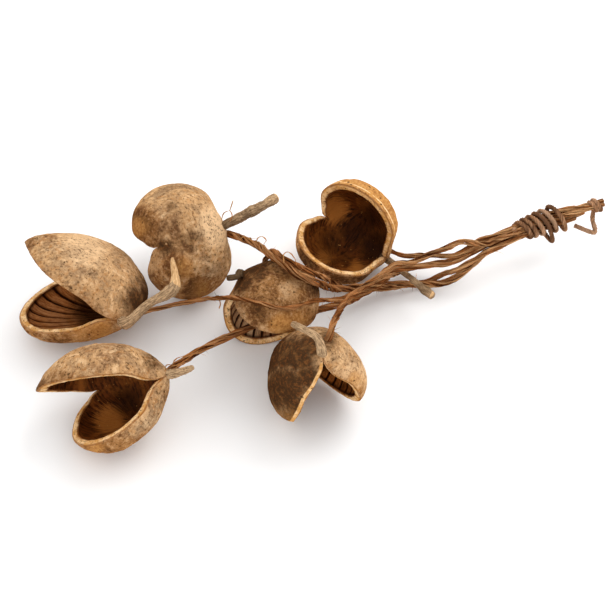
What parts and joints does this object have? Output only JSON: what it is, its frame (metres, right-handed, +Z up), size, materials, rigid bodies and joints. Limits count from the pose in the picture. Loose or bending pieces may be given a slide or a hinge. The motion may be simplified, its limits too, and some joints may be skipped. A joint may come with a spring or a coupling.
{
  "type": "buddha nut cluster",
  "caption": "Dried woody seed pods split open into two hollow halves, on twisted bark stems that are bound with covered wire into a handle with a small hook.",
  "frame": {"origin": "middle of the cluster's box, on the surface that it lies on", "axes": "+X along the cluster's length towards its handle, +Z up from the surface, +Y away from the picture's viewer"},
  "size_m": [0.4954, 0.2626, 0.1135],
  "materials": {
    "dried_shell": "dry, dull and mottled",
    "twisted_bark": "dry, fibrous and dull",
    "wrapped_wire": "covered wire, dull"
  },
  "bodies": {
    "root": {"pod_a": "dried_shell", "pod_b": "dried_shell", "pod_c": "dried_shell", "pod_d": "dried_shell", "pod_e": "dried_shell", "pod_f": "dried_shell", "stem_a": "twisted_bark", "stem_b": "twisted_bark", "stem_c": "twisted_bark", "stem_d": "twisted_bark", "stem_e": "twisted_bark", "stem_f": "twisted_bark", "binding": "wrapped_wire", "end_tie": "wrapped_wire"}
  },
  "joints": []
}
